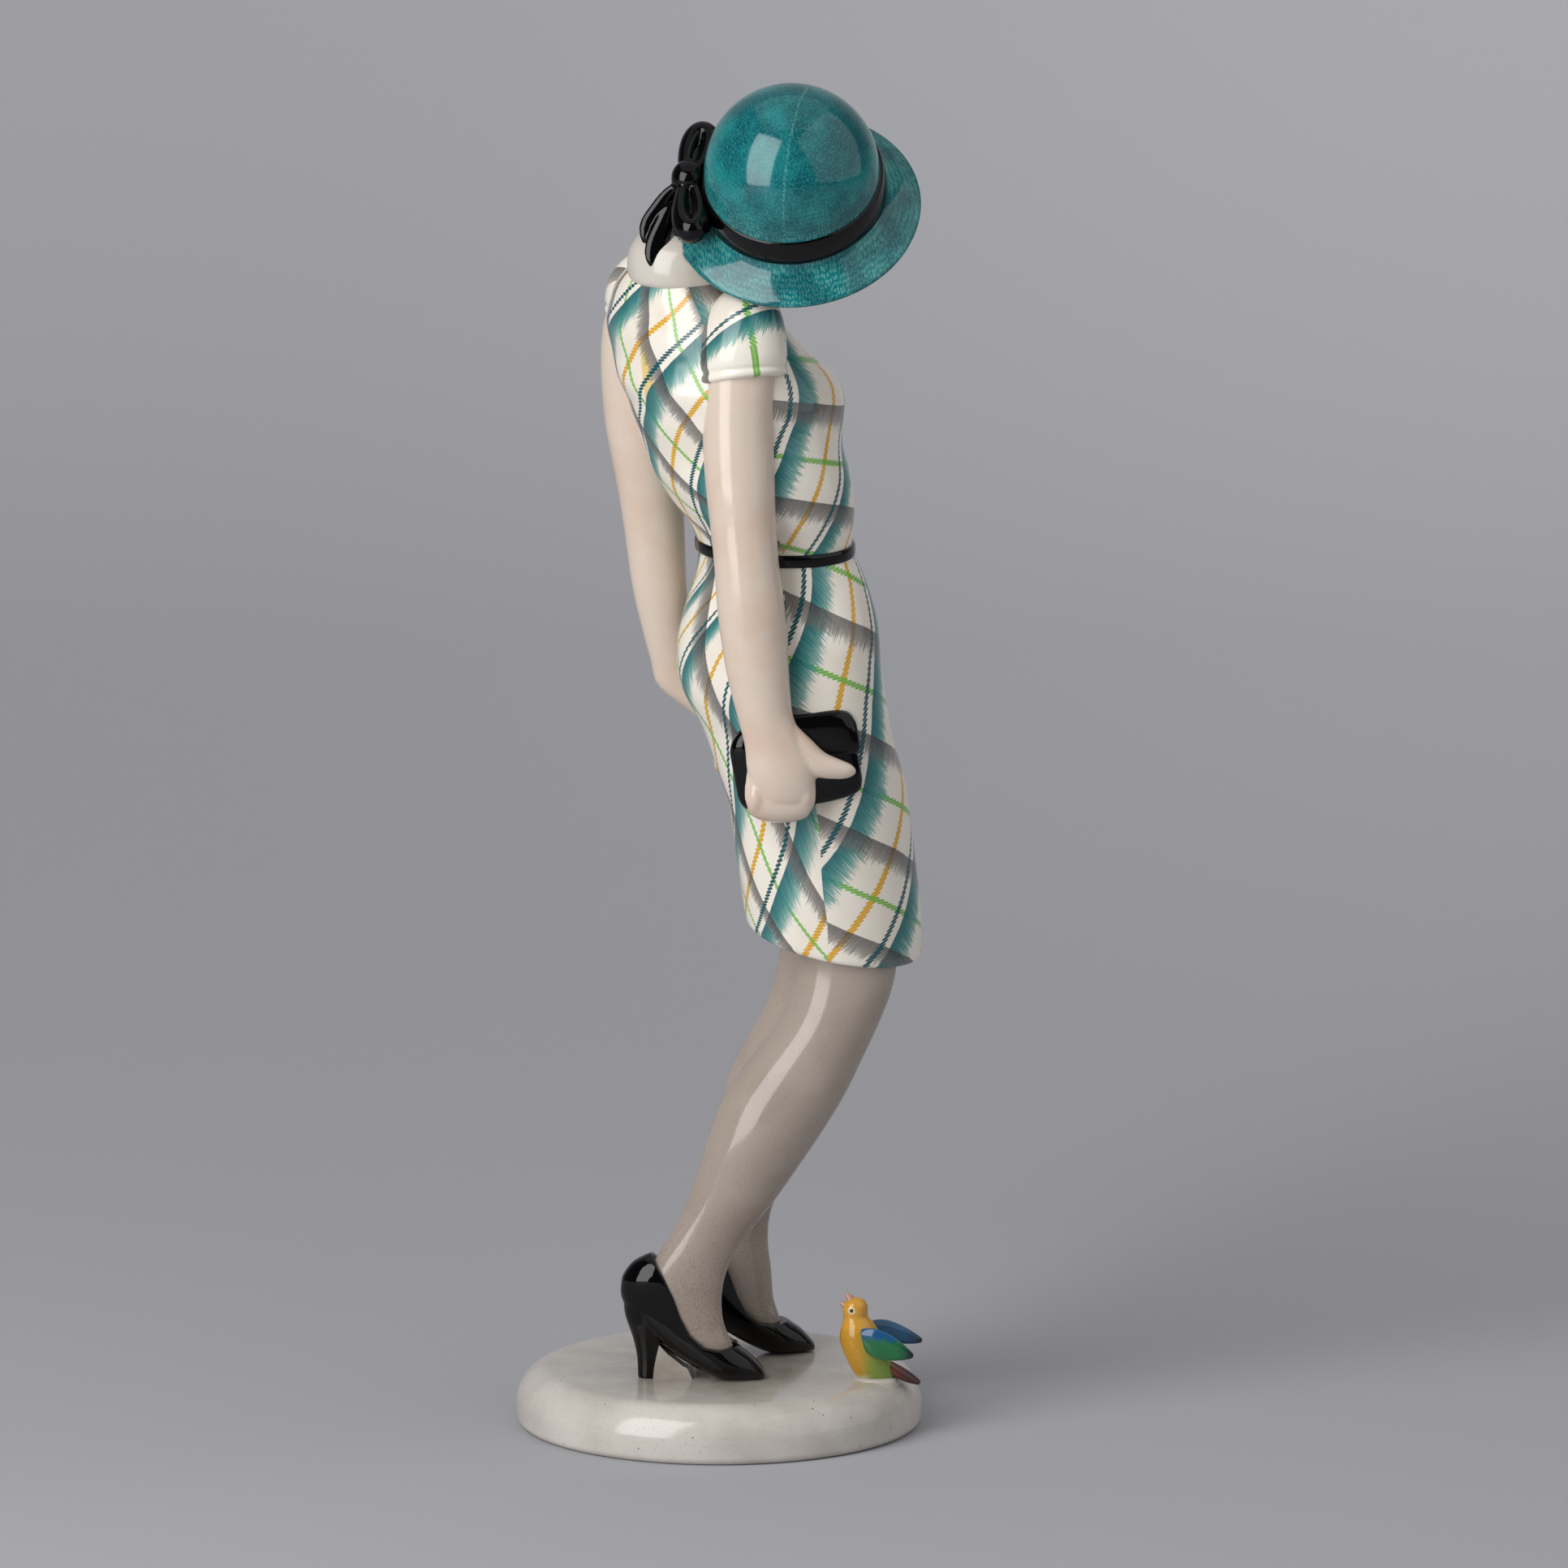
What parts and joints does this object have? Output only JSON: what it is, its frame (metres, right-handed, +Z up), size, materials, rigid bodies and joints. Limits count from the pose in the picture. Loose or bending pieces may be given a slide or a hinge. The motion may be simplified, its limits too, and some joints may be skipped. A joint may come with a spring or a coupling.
{
  "type": "ceramic figurine",
  "caption": "Glazed earthenware figurine of a standing woman in a brimmed hat and plaid dress, clutch in hand, looking down at a small bird on a round plinth.",
  "frame": {"origin": "centre of the plinth's flat underside, on the surface it stands on", "axes": "+Z up, +X the way the feet point, +Y to the figure's left"},
  "size_m": [0.1003, 0.1, 0.3403],
  "materials": {
    "cream_glaze": "clear gloss glaze over a cream earthenware body, with fine dark pits",
    "black_glaze": "deep gloss black glaze",
    "stocking_glaze": "gloss taupe glaze with a fine speckle",
    "dress_glaze": "gloss glaze over a hand-brushed plaid in teal, grey, yellow and green on cream",
    "collar_glaze": "plain off-white gloss glaze",
    "skin_glaze": "gloss glaze over a warm flesh tint",
    "hair_glaze": "gloss brown glaze over combed strands",
    "hat_glaze": "translucent teal gloss glaze pooled in a rolled straw texture",
    "bird_breast_glaze": "gloss glaze, yellow shading to green",
    "bird_wing_glaze": "gloss glaze, green and blue with dark tips",
    "bird_tail_glaze": "gloss maroon-brown glaze",
    "bird_beak_glaze": "gloss pinkish-brown glaze"
  },
  "bodies": {
    "root": {"base_plinth": "cream_glaze", "right_arch_prop": "cream_glaze", "left_arch_prop": "cream_glaze", "right_shoe": "black_glaze", "left_shoe": "black_glaze", "right_leg": "stocking_glaze", "left_leg": "stocking_glaze", "skirt": "dress_glaze", "belt": "black_glaze", "bodice": "dress_glaze", "collar": "collar_glaze", "right_sleeve": "dress_glaze", "left_sleeve": "dress_glaze", "right_arm": "skin_glaze", "left_arm": "skin_glaze", "clutch_bag": "black_glaze", "clutch_flap": "black_glaze", "head": "skin_glaze", "hair": "hair_glaze", "hat": "hat_glaze", "hat_ribbon": "black_glaze", "bow_knot": "black_glaze", "bow_upper_loop": "black_glaze", "bow_lower_loop": "black_glaze", "bow_short_tail": "black_glaze", "bow_long_tail": "black_glaze", "bird_mound": "cream_glaze", "bird_body": "bird_breast_glaze", "bird_right_wing": "bird_wing_glaze", "bird_left_wing": "bird_wing_glaze", "bird_tail": "bird_tail_glaze", "bird_upper_beak": "bird_beak_glaze", "bird_lower_beak": "bird_beak_glaze"}
  },
  "joints": []
}
